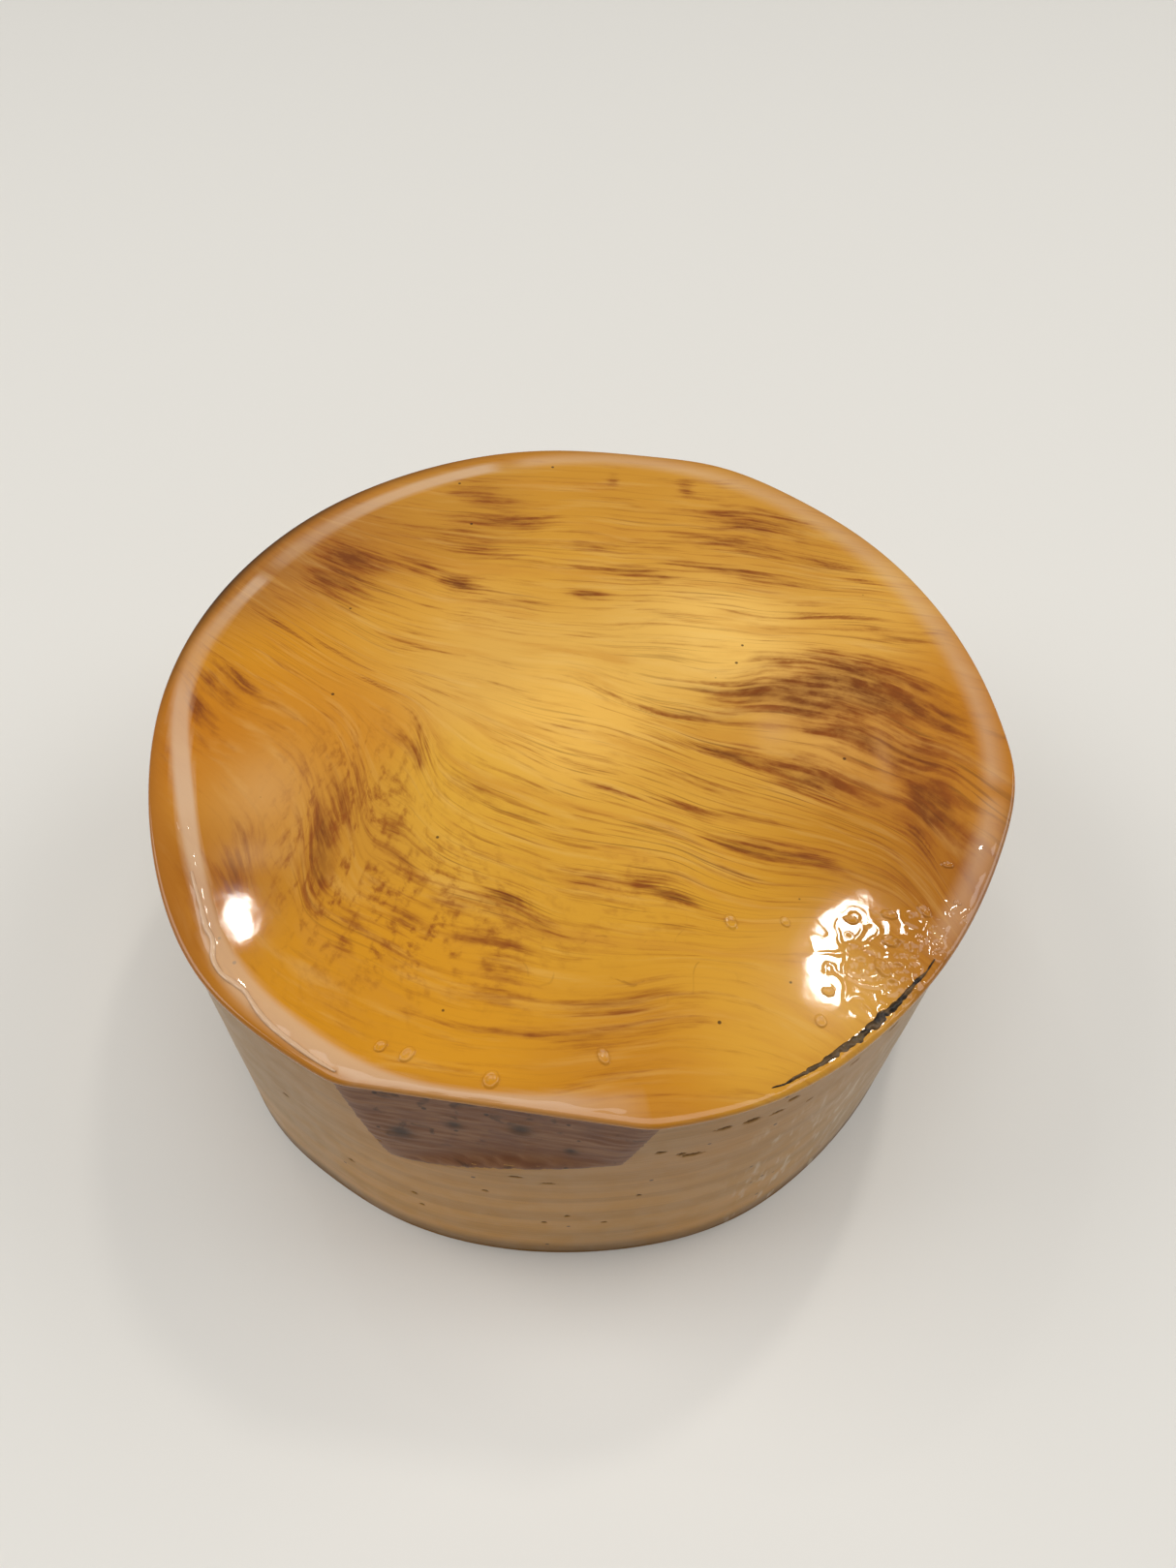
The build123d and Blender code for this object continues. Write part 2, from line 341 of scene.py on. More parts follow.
# the broad tone of the wood: place, colour
tones = [
    ((-0.88, 0.44), "#a06c3e"), ((-0.76, 0.60), "#a47042"), ((0.00, 0.00), "#edb754"),
    ((0.35, 0.30), "#f0be60"), ((0.10, 0.25), "#dfac50"), ((-0.25, 0.20), "#dca84e"),
    ((-0.45, 0.30), "#d49d46"), ((-0.78, 0.20), "#d0902c"), ((-0.60, 0.00), "#cb8a35"),
    ((-0.85, -0.05), "#be761e"), ((-0.70, -0.22), "#c98f45"), ((-0.78, -0.47), "#a4651a"),
    ((-0.52, -0.36), "#c28a3c"), ((-0.25, -0.28), "#daa748"), ((-0.45, -0.60), "#d2942c"),
    ((-0.52, -0.73), "#cb8a24"), ((-0.20, -0.74), "#d4952e"), ((0.05, -0.62), "#d49d3c"),
    ((0.10, -0.84), "#c28228"), ((0.38, -0.74), "#d8a246"), ((0.35, -0.52), "#d09838"),
    ((0.60, -0.42), "#bd8430"), ((0.78, -0.45), "#a3662a"), ((0.80, -0.12), "#b97a32"),
    ((0.93, 0.12), "#bd7b22"), ((0.60, 0.02), "#d8a460"), ((0.35, -0.12), "#d09b48"),
    ((0.75, 0.30), "#dba755"), ((0.55, 0.60), "#c89142"), ((0.28, 0.62), "#cd9645"),
    ((0.05, 0.82), "#c8903c"), ((-0.35, 0.75), "#c08a3e"), ((-0.60, 0.55), "#b47a36"),
    ((0.00, 0.50), "#d29c46"), ((-0.05, -0.45), "#d29c40"), ((0.15, -0.30), "#d8a44c"),
]
# what the yellowed wax takes out of every tone but the palest
yellowing = {"palestRed": 0xdc, "green": 0x04, "blue": 0x12, "leastBlue": 0x0c}
toneReach = 0.16


def toneAt(table, x, y):
    # the colours of the nearest places, run into each other
    total, colour = 1e-9, [0.0, 0.0, 0.0]
    for (cx, cy), tone in table:
        share = math.exp(-((x - cx) ** 2 + (y - cy) ** 2) / toneReach ** 2)
        total += share
        colour = [part + share * value for part, value in zip(colour, tone)]
    return (*(part / total for part in colour), 1.0)


def underWax(text):
    red, green, blue = (int(text[i:i + 2], 16) for i in (1, 3, 5))
    if red < yellowing["palestRed"]:
        green -= yellowing["green"]
        blue = max(blue - yellowing["blue"], yellowing["leastBlue"])
    return hexColour(f"#{red:02x}{green:02x}{blue:02x}")[:3]


tonePlaces = [(place, underWax(text)) for place, text in tones]


def spots(table, x, y):
    total = 0.0
    for (cx, cy), wide, tall, strength in table:
        far = ((x - cx) / wide) ** 2 + ((y - cy) / tall) ** 2
        if far < 6:
            total += strength * math.exp(-far)
    return clamp(total, 0, 1.2)


flamePlaces = [(grainAt(*place), long, wide, strength) for place, long, wide, strength in flames]

milkStrength = {  # how milky the lap is, round the rim
    0: 0.50, 20: 0.42, 50: 0.42, 80: 0.52, 98: 0.50, 103: 0.15, 107: 0.85, 126: 0.72, 138: 0.42,
    146: 0.32, 149: 0.05, 152: 0.76, 160: 0.52, 170: 0.42, 178: 0.75, 195: 1.00, 205: 0.85, 213: 0.72,
    225: 0.72, 240: 0.80, 250: 0.75, 262: 0.70, 269: 0.60, 275: 0.35, 280: 0.08, 284: 0.0, 318: 0.0,
    326: 0.40, 340: 0.50, 346: 0.40, 348: 0.10, 351: 0.50,
}
milkBlur = {  # softness of its edges, in millimetres
    0: 3.0, 50: 3.5, 90: 2.5, 106: 1.0, 126: 1.2, 140: 2.0, 152: 0.9, 165: 1.8, 178: 1.2, 195: 0.9,
    213: 1.2, 240: 1.4, 262: 1.2, 278: 2.5, 330: 3.0,
}
darkEdge = {  # how dark the outermost edge is, where bark shows under the wax
    0: 0.0, 100: 0.2, 120: 0.6, 135: 0.85, 155: 0.95, 170: 0.6, 182: 0.15, 200: 0.1, 240: 0.1, 300: 0.0,
    345: 0.3, 352: 0.0,
}
darkEdgeRing = ringThrough(darkEdge)
milkRing = ringThrough(milkStrength)
blurRing = ringThrough(milkBlur)


def lapEdges(angle):
    # inner and outer radius of the lap, or None in its gap
    i = round(angle / blank["step"]) % len(lapInner)
    return (lapInner[i], lapOuter[i]) if lapInner[i] and lapOuter[i] else None


def milkAt(angle, radius):
    edges = lapEdges(angle)
    if edges is None or radius < edges[0] - 8 * mm:
        return 0.0
    blur = 0.6 * around(blurRing, angle) * mm
    rise = ease(edges[0] - blur, edges[0] + blur, radius)
    drop = ease(edges[1] - 1.5 * blur, edges[1] + 1.5 * blur, radius)
    return rise * (1 - drop) * around(milkRing, angle)


def paintFigure(bm):
    # stores the grain's coordinates and the painted shares on every point of a top piece
    names = ("figure", "hair", "ripple", "paintedReflection", "check", "milkAndGlint", "edge", "bark")
    layers = {name: bm.verts.layers.float.new(name) for name in names}
    tone = bm.verts.layers.float_color.new("tone")
    uv = bm.loops.layers.uv.new("grain")
    places = {}
    for v in bm.verts:
        x, y = (v.co.x - topCentre.x) / blank["radius"], v.co.y / blank["radius"]
        along, across = grainAt(x, y)
        places[v] = (along * blank["radius"], across * blank["radius"])
        total = 0.0
        for (la, ac), long, wide, strength in flamePlaces:
            far = ((along - la) / long) ** 2 + ((across - ac) / wide) ** 2
            if far < 6:
                total += strength * math.exp(-far)
        v[layers["figure"]] = clamp(total * 1.22, 0, 1.4)
        v[tone] = toneAt(tonePlaces, x, y)
        v[layers["hair"]] = spots(hairs, x, y)
        v[layers["ripple"]] = spots(ripples, x, y)
        # share of painted reflection of the room on the wax
        v[layers["paintedReflection"]] = spots(paintedReflectionPlaces, x, y)
        v[layers["check"]] = spots(checks, x, y)
        angle, share = polar(v.co.x, v.co.y)
        radius = share * blank["radius"]
        v[layers["milkAndGlint"]] = milkAt(angle, radius)
        inward = rimRadius(angle) - radius
        back = ease(60, 120, angle) * ease(290, 230, angle)
        v[layers["edge"]] = ease(6 * mm, 0.5 * mm, inward) * (0.35 + 0.65 * back)
        dark = around(darkEdgeRing, angle)
        v[layers["bark"]] = ease((1.8 + 1.6 * dark) * mm, 0.3 * mm, inward) * dark
    for face in bm.faces:
        for loop in face.loops:
            loop[uv].uv = places[loop.vert]


def addNode(tree, kind, inputs=None, **settings):
    node = tree.nodes.new("ShaderNode" + kind)
    for name, value in settings.items():
        setattr(node, name, value)
    for name, value in (inputs or {}).items():
        socket = node.inputs[name]
        if isinstance(value, bpy.types.NodeSocket):
            tree.links.new(value, socket)
        else:
            socket.default_value = value
    return node


def newMaterial(name):
    material = bpy.data.materials.new(name)
    material.use_nodes = True
    tree = material.node_tree
    tree.nodes.clear()
    output = addNode(tree, "OutputMaterial")
    shader = addNode(tree, "BsdfPrincipled")
    tree.links.new(shader.outputs["BSDF"], output.inputs["Surface"])
    return material, tree, shader


def mixed(tree, share, first, second):
    return addNode(tree, "Mix", {0: share, 6: first, 7: second}, data_type="RGBA").outputs[2]


def sums(tree, operation, first, second=0.0, third=0.0, limit=False):
    inputs = {0: first, 1: second, 2: third}
    return addNode(tree, "Math", inputs, operation=operation, use_clamp=limit).outputs[0]


def ranged(tree, value, low, high, toLow=0.0, toHigh=1.0):
    inputs = {"Value": value, "From Min": low, "From Max": high, "To Min": toLow, "To Max": toHigh}
    return addNode(tree, "MapRange", inputs, interpolation_type="SMOOTHSTEP").outputs[0]


woodColours = {
    "amber": "#c5852e",
    "pale": "#f2cf86",
    "brown": "#8f4b12",  # flames
    "umber": "#5f300d",  # hair lines
    # colour of the painted reflection of the room
    "paintedReflection": "#d9a66a",
    "milkAndGlint": "#d8b898",
    "edge": "#a9681c",
    "bark": "#3c2614",
    "black": "#2a1c10",
}


def stretchedNoise(tree, coords, along, across, detail=4.0, roughness=0.55, seed=0.0):
    # noise drawn out along the grain; along and across are its real sizes
    size = addNode(tree, "Mapping", {"Vector": coords, "Scale": (1 / along, 1 / across, 1.0),
                                     "Location": (seed, seed * 1.7, 0)})
    inputs = {"Vector": size.outputs[0], "Scale": 1.0, "Detail": detail, "Roughness": roughness}
    return addNode(tree, "TexNoise", inputs, noise_dimensions="2D").outputs["Fac"]


def painted(tree, name):
    return addNode(tree, "Attribute", attribute_name=name).outputs["Fac"]


def figuredWood(tree):
    # colour of the figured wood, as it shows through the wax, with painted reflections of the room and, on
    # the runs, painted glints
    uv = addNode(tree, "UVMap", uv_map="grain").outputs[0]
    place = addNode(tree, "TexCoord").outputs["Object"]
    bend = addNode(tree, "TexNoise", {"Vector": place, "Scale": 1 / 0.030, "Detail": 1.0})
    shift = addNode(tree, "VectorMath", {0: bend.outputs["Color"], 1: (0.5, 0.5, 0.5)}, operation="SUBTRACT")
    shift = addNode(tree, "VectorMath", {0: shift.outputs[0], "Scale": 0.005}, operation="SCALE")
    coords = addNode(tree, "VectorMath", {0: uv, 1: shift.outputs[0]}, operation="ADD").outputs[0]

    c = {name: hexColour(text) for name, text in woodColours.items()}
    colour = addNode(tree, "Attribute", attribute_name="tone").outputs["Color"]
    cloud = stretchedNoise(tree, coords, 0.035, 0.006, seed=3.1)
    colour = mixed(tree, ranged(tree, cloud, 0.48, 0.75, 0.0, 0.45), colour, c["amber"])
    pale = stretchedNoise(tree, coords, 0.030, 0.003, seed=4.4)
    colour = mixed(tree, ranged(tree, pale, 0.50, 0.80, 0.0, 0.14), colour, c["pale"])

    # flames: painted where they lie, torn into streaks along the grain
    broad = stretchedNoise(tree, coords, 0.022, 0.0032, detail=5.0, roughness=0.62, seed=7.7)
    fine = stretchedNoise(tree, coords, 0.024, 0.0010, detail=4.0, roughness=0.55, seed=1.3)
    fleck = stretchedNoise(tree, coords, 0.0070, 0.0016, detail=5.0, roughness=0.6, seed=2.2)
    torn = sums(tree, "MULTIPLY_ADD", broad, 1.9, sums(tree, "MULTIPLY", fine, 0.7))
    flame = sums(tree, "MULTIPLY_ADD", painted(tree, "figure"), 0.80, torn)
    stroke = sums(tree, "MULTIPLY", ranged(tree, fine, 0.34, 0.60, 0.45, 1.0),
                  ranged(tree, fleck, 0.32, 0.62, 0.55, 1.0))
    share = sums(tree, "MULTIPLY", ranged(tree, flame, 1.34, 2.25), stroke)
    colour = mixed(tree, share, colour, c["brown"])
    share = sums(tree, "MULTIPLY", ranged(tree, flame, 1.90, 2.65, 0.0, 0.62), stroke)
    colour = mixed(tree, share, colour, c["umber"])

    # hair lines, thick and thin
    hairShare = sums(tree, "ADD", painted(tree, "hair"), 0.12, limit=True)
    line = sums(tree, "MULTIPLY", ranged(tree, fine, 0.52, 0.74), hairShare)
    colour = mixed(tree, sums(tree, "MULTIPLY", line, 0.42), colour, c["brown"])
    thin = stretchedNoise(tree, coords, 0.045, 0.0008, detail=3.0, seed=5.9)
    thinLine = sums(tree, "MULTIPLY", ranged(tree, thin, 0.60, 0.74), hairShare)
    colour = mixed(tree, sums(tree, "MULTIPLY", thinLine, 0.48), colour, c["umber"])

    # short marks of the ripple figure
    mark = stretchedNoise(tree, coords, 0.0034, 0.0016, detail=5.0, roughness=0.6, seed=9.2)
    rows = ranged(tree, stretchedNoise(tree, coords, 0.0050, 0.0090, detail=2.0, seed=6.1), 0.40, 0.58)
    markShare = sums(tree, "MULTIPLY", ranged(tree, mark, 0.40, 0.74), painted(tree, "ripple"))
    markShare = sums(tree, "MULTIPLY", markShare, rows)
    colour = mixed(tree, sums(tree, "MULTIPLY", markShare, 0.75), colour, c["brown"])

    # checks: thin curved lines where a slow noise passes its middle
    curve = addNode(tree, "TexNoise", {"Vector": place, "Scale": 1 / 0.0075, "Detail": 0.5})
    off = sums(tree, "ABSOLUTE", sums(tree, "SUBTRACT", curve.outputs["Fac"], 0.5))
    gap = addNode(tree, "TexNoise", {"Vector": place, "Scale": 1 / 0.0045}).outputs["Fac"]
    broken = ranged(tree, gap, 0.50, 0.56)
    check = sums(tree, "MULTIPLY", ranged(tree, off, 0.016, 0.004), broken)
    check = sums(tree, "MULTIPLY", check, painted(tree, "check"))
    colour = mixed(tree, sums(tree, "MULTIPLY", check, 0.5), colour, c["umber"])

    # painted reflection of the bright room on the wax, mixed into the colour
    colour = mixed(tree, painted(tree, "paintedReflection"), colour, c["paintedReflection"])
    colour = mixed(tree, sums(tree, "MULTIPLY", painted(tree, "edge"), 0.75), colour, c["edge"])
    colour = mixed(tree, painted(tree, "bark"), colour, c["bark"])

    dots = addNode(tree, "TexVoronoi", {"Vector": place, "Scale": 1 / 0.011})
    dot = ranged(tree, dots.outputs["Distance"], 0.040, 0.024)
    colour = mixed(tree, sums(tree, "MULTIPLY", dot, 0.8), colour, c["black"])
    # milky wax of the lap, and on the runs a painted highlight standing in for their glints
    milkAndGlint = sums(tree, "MULTIPLY", painted(tree, "milkAndGlint"), 0.75)
    return mixed(tree, milkAndGlint, colour, c["milkAndGlint"]), place


def waxGloss(tree, shader, place, peel=0.12, dents=0.05):
    # a poured wax face: wet gloss with a slow swell and a faint orange peel
    swell = addNode(tree, "TexNoise", {"Vector": place, "Scale": 1 / 0.012, "Detail": 2.0})
    fine = addNode(tree, "TexNoise", {"Vector": place, "Scale": 1 / 0.0022, "Detail": 2.0})
    bump = addNode(tree, "Bump", {"Height": swell.outputs["Fac"], "Strength": peel, "Distance": 0.3 * mm})
    bump = addNode(tree, "Bump", {"Height": fine.outputs["Fac"], "Strength": dents, "Distance": 0.1 * mm,
                                  "Normal": bump.outputs[0]})
    tree.links.new(bump.outputs[0], shader.inputs["Normal"])
    tree.links.new(bump.outputs[0], shader.inputs["Coat Normal"])


def clearParaffinOverWood():
    # Figured wood under a millimetre of clear paraffin, poured hot: deep amber with a wet, glassy face.
    material, tree, shader = newMaterial("clearParaffinOverFiguredWood")
    colour, place = figuredWood(tree)
    tree.links.new(colour, shader.inputs["Base Color"])
    shader.inputs["Roughness"].default_value = 0.5
    shader.inputs["IOR"].default_value = 1.08  # wood against paraffin, which hardly mirrors
    shader.inputs["Coat Weight"].default_value = 1.0
    shader.inputs["Coat Roughness"].default_value = 0.048
    shader.inputs["Coat IOR"].default_value = 1.43
    waxGloss(tree, shader, place)
    return material


woodUnderWax = clearParaffinOverWood()

topCoat = {
    "steps": 576,
    "spacing": 1.0 * mm,  # between rings of points
    "round": 0.9 * mm,  # rounding of the top edge
    "thick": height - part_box("top_wax_coat")[0].z,
    "swell": 0.05 * mm,
    "swellSize": 26 * mm,
    "craterPath": [  # where the pitted part runs, front right, as shares of the radius
        (0.575, -0.575), (0.60, -0.64), (0.635, -0.70), (0.67, -0.655), (0.71, -0.60), (0.755, -0.56),
        (0.80, -0.50), (0.83, -0.45),
    ],
    "craterScatter": 0.026,
    "craterReach": 0.07,  # how far from the path the relief is worked out
    "craterCount": 64,
    "tornPlace": (0.625, -0.665),
    "tornReach": 0.085,
    "craterSeed": 11,
    "craterWide": (0.5 * mm, 1.7 * mm),
    "craterDeep": 0.30 * mm,
    "craterLimit": 0.30 * mm,
    "ragged": 0.21 * mm,  # torn ridges between the craters
    "raggedSize": 3.2 * mm,
    "lipAngles": (290.0, 311.0),  # the jagged lip outside the bark
    "lipTall": 0.35 * mm,
}


def makeCraters():
    rng = random.Random(topCoat["craterSeed"])
    craters = []
    path = topCoat["craterPath"]
    small, large = topCoat["craterWide"]
    for _ in range(topCoat["craterCount"]):
        at = rng.triangular(0, len(path) - 1.001, 3.0)
        (x0, y0), (x1, y1), t = path[int(at)], path[int(at) + 1], at % 1
        x = x0 + (x1 - x0) * t + rng.gauss(0, topCoat["craterScatter"])
        y = y0 + (y1 - y0) * t + rng.gauss(0, topCoat["craterScatter"])
        size = small + (large - small) * rng.random() ** 2
        centre = topCentre + Vector((x, y, 0)) * blank["radius"]
        craters.append((centre.x, centre.y, size, rng.uniform(-1.0, 0.6)))
    return craters


craterList = makeCraters()


def craterRelief(x, y):
    total = 0.0
    for cx, cy, size, kind in craterList:
        far = math.hypot(x - cx, y - cy) / size
        if far < 2.2:
            lip = math.exp(-((far - 1) / 0.35) ** 2)
            cup = math.exp(-(far / 0.75) ** 2)
            total += topCoat["craterDeep"] * (size / topCoat["craterWide"][1]) * (0.5 * lip + kind * cup)
    tx, ty = ((value - at * blank["radius"]) / (topCoat["tornReach"] * blank["radius"])
              for value, at in zip((x - topCentre.x, y), topCoat["tornPlace"]))
    torn = math.exp(-tx * tx - ty * ty)
    ridge = 1 - abs(2 * noise.noise(Vector((x, y, 0)) / topCoat["raggedSize"]))
    total += topCoat["ragged"] * torn * (ridge ** 3 - 0.4)
    return clamp(total, -topCoat["craterLimit"], topCoat["craterLimit"])


def inCraters(x, y, spare=0.0):
    x, y = (x - topCentre.x) / blank["radius"], y / blank["radius"]
    reach = topCoat["craterReach"] + spare
    return any(math.hypot(x - px, y - py) < reach for px, py in topCoat["craterPath"])


def lipRelief(x, y):
    angle, share = polar(x, y)
    low, high = topCoat["lipAngles"]
    if not low < angle < high:
        return 0.0
    inward = rimRadius(angle) - share * blank["radius"]
    jag = 0.5 + 0.9 * noise.noise(Vector((x, y, 3 * mm)) / (1.4 * mm))
    middle = 0.9 * mm + 0.25 * mm * noise.noise(Vector((x, y, 0)) / (2.5 * mm))
    ends = ease(low, low + 5, angle) * ease(high, high - 6, angle)
    return topCoat["lipTall"] * ends * clamp(jag) * math.exp(-((inward - middle) / (0.35 * mm)) ** 2)


def topRelief(x, y):
    # height of the wax over the CAD's flat top
    s = topCoat["swellSize"]
    swell = topCoat["swell"] * (noise.noise(Vector((x / s, y / s, 1.7))) - 0.6)
    return swell + (craterRelief(x, y) if inCraters(x, y, 0.03) else 0.0) + lipRelief(x, y)


def makeTopCoat():
    bm = bmesh.new()
    radius = blank["radius"]
    edge = topCoat["round"]
    rings = int((radius - edge) / topCoat["spacing"])
    profile = [(i * (radius - edge) / rings, height) for i in range(rings + 1)]
    for i in range(1, 7):
        turn = math.radians(15 * i)
        profile.append((radius - edge + edge * math.sin(turn), height - edge + edge * math.cos(turn)))
    low = height - topCoat["thick"]
    profile += [(radius, low + 0.1 * mm), (radius - 0.1 * mm, low), (radius - 5 * mm, low), (0, low)]
    spinProfile(bm, profile, topCoat["steps"])
    for v in bm.verts:  # stretch the round to the measured rim
        turned = math.degrees(math.atan2(v.co.y, v.co.x))
        flat = Vector((v.co.x, v.co.y, 0)) * (rimRadius(turned) / radius)
        v.co = Vector((flat.x + topCentre.x, flat.y, v.co.z))
    near = [e for e in bm.edges
            if all(v.co.z > height - 0.2 * mm and inCraters(v.co.x, v.co.y, 0.02) for v in e.verts)]
    bmesh.ops.subdivide_edges(bm, edges=near, cuts=3, use_grid_fill=True)
    for v in bm.verts:
        if v.co.z > height - 1.1 * edge:
            v.co.z += topRelief(v.co.x, v.co.y)
    bmesh.ops.recalc_face_normals(bm, faces=bm.faces)
    paintFigure(bm)
    newPiece("topWaxCoat", bm, woodUnderWax, "top_wax_coat")


makeTopCoat()

lap = {
    "span": (320.5, 638.5),  # degrees that it runs over, past 360
    "steps": 640,
    "across": 14,
    "proud": 0.28 * mm,
    "tuck": 0.12 * mm,  # how deep its feathered edges lie under the top coat
    "widen": 0.8 * mm,
    "kinks": (102.5, 149.0, 347.0),  # places where it thins out
    "kinkWide": 1.6,
}


def makeLap():
    bm = bmesh.new()
    start, end = lap["span"]
    profile = [(1.0 + i / lap["across"], 1.0) for i in range(lap["across"] + 1)] + [(2.0, 0.0), (1.0, 0.0)]
    spinProfile(bm, profile + profile[:1], lap["steps"], end - start, start)
    bmesh.ops.holes_fill(bm, edges=[e for e in bm.edges if e.is_boundary], sides=0)
    for v in bm.verts:
        angle = math.degrees(math.atan2(v.co.y, v.co.x)) % 360
        t = math.hypot(v.co.x, v.co.y) - 1.0
        edges = lapEdges(angle) or lapEdges(angle + 1) or lapEdges(angle - 1)
        inner, outer = edges[0] - lap["widen"], min(edges[1] + lap["widen"], rimRadius(angle) - 0.5 * mm)
        out = axisAt(height) + heading(angle) * (inner + (outer - inner) * t)
        turned = (angle - start) % 360
        ends = ease(0, 3, turned) * ease(end - start, end - start - 3, turned)
        for kink in lap["kinks"]:
            ends *= 1 - 0.9 * math.exp(-((angle - kink) / lap["kinkWide"]) ** 2)
        wave = 0.75 + 0.5 * noise.noise(Vector((out.x, out.y, 0)) / (5 * mm))
        hump = math.sin(math.pi * clamp(t)) ** 0.8 * wave * ends * (0.35 + 0.65 * around(milkRing, angle))
        rise = lap["proud"] * hump - lap["tuck"] * (1 - hump)
        out.z = height + topRelief(out.x, out.y) + (rise if v.co.z > 0.5 else -0.6 * mm)
        v.co = out
    bmesh.ops.recalc_face_normals(bm, faces=bm.faces)
    paintFigure(bm)
    newPiece("rimWaxLap", bm, woodUnderWax, "rim_wax_lap")


makeLap()

sideSkin = {
    "steps": 640,
    "spacing": 1.1 * mm,
    "thick": 0.6 * mm,
    "under": 0.3 * mm,  # how far it runs up behind the lip
    "swell": 0.10 * mm,
    "swellSize": 16 * mm,
    "pits": [  # angle, depth under the top as a share of the radius, length and height in millimetres, depth
        (281.0, 0.175, 1.6, 0.8, 0.5), (283.6, 0.205, 1.4, 1.0, 0.7), (285.0, 0.220, 3.4, 1.0, 0.9),
        (288.0, 0.105, 2.6, 0.9, 0.7), (291.5, 0.110, 2.6, 1.2, 1.0), (294.8, 0.120, 2.0, 0.7, 0.6),
        (296.5, 0.080, 2.0, 0.8, 0.9), (299.5, 0.150, 1.2, 0.6, 0.4), (306.0, 0.105, 1.6, 0.6, 0.4),
        (311.0, 0.080, 2.2, 0.8, 0.8), (313.0, 0.110, 2.2, 0.8, 0.6), (315.5, 0.095, 2.6, 0.9, 0.9),
        (250.0, 0.565, 1.2, 0.9, 0.6), (250.7, 0.640, 0.9, 0.9, 0.5), (231.5, 0.370, 1.4, 1.0, 0.4),
        (240.5, 0.550, 1.3, 0.9, 0.4), (260.0, 0.420, 1.0, 0.7, 0.4), (270.5, 0.560, 0.9, 0.8, 0.5),
        (267.5, 0.615, 0.8, 1.0, 0.4), (275.5, 0.620, 0.9, 0.8, 0.5), (279.5, 0.440, 0.8, 0.8, 0.3),
        (264.0, 0.300, 2.6, 0.6, 0.4), (268.0, 0.330, 2.0, 0.5, 0.4), (247.0, 0.270, 1.2, 0.8, 0.4),
        (130.0, 0.300, 2.0, 0.9, 0.6), (150.0, 0.480, 1.4, 0.8, 0.5), (52.0, 0.400, 2.2, 0.8, 0.7),
        (20.0, 0.200, 1.6, 0.8, 0.6), (85.0, 0.560, 1.4, 0.9, 0.5), (182.0, 0.300, 1.6, 0.8, 0.5),
    ],
}


def sideRadius(angle, z):
    return radiusIn(sideTree, angle, clamp(z, sideLow + 0.3 * mm, coatLow - 0.4 * mm))


def pitPlace(angle, depth):
    z = height - depth * blank["radius"]
    return axisAt(z) + heading(angle) * sideRadius(angle, z)


pitList = [(pitPlace(angle, depth), heading(angle + 90), long * mm / 2, tall * mm / 2, deep * mm)
           for angle, depth, long, tall, deep in sideSkin["pits"]]


def pitNear(point, spare):
    for centre, along, long, tall, deep in pitList:
        if (point - centre).length < long + spare:
            yield ((point - centre).dot(along) / long) ** 2 + ((point.z - centre.z) / tall) ** 2, deep


def makeSideSkin():
    # returns a search tree of the finished skin, which the bark is laid on
    bm = bmesh.new()
    low, high = sideLow - 0.3 * mm, coatLow + sideSkin["under"]
    rows = round((high - low) / sideSkin["spacing"])
    spinProfile(bm, [(1.0, low + (high - low) * i / rows) for i in range(rows + 1)], sideSkin["steps"])
    for v in bm.verts:
        angle = math.degrees(math.atan2(v.co.y, v.co.x))
        v.co = axisAt(v.co.z) + heading(angle) * (sideRadius(angle, v.co.z) - 0.05 * mm)
    inside = [v for v in bm.verts if not v.is_boundary]
    for _ in range(2):
        bmesh.ops.smooth_vert(bm, verts=inside, factor=0.5, use_axis_x=True, use_axis_y=True)
    near = [e for e in bm.edges if all(any(pitNear(v.co, 1.5 * mm)) for v in e.verts)]
    bmesh.ops.subdivide_edges(bm, edges=near, cuts=3, use_grid_fill=True)
    pit = bm.verts.layers.float.new("pit")
    for v in bm.verts:
        out = (v.co - axisAt(v.co.z)).normalized()
        relief = sideSkin["swell"] * (noise.noise(v.co / sideSkin["swellSize"]) - 0.5)
        for far, deep in pitNear(v.co, 1.0 * mm):
            ragged = far * (1 + 0.9 * noise.noise(v.co / (0.5 * mm)))
            relief -= deep * math.exp(-ragged ** 2)
            v[pit] = max(v[pit], math.exp(-(0.8 * ragged) ** 2))
        v.co += out * relief
    bmesh.ops.recalc_face_normals(bm, faces=bm.faces)
    tree = BVHTree.FromBMesh(bm)
    piece = newPiece("sideWaxSkin", bm, sawnSideUnderWax, "side_wax_coat")
    thicken(piece, sideSkin["thick"])
    return tree


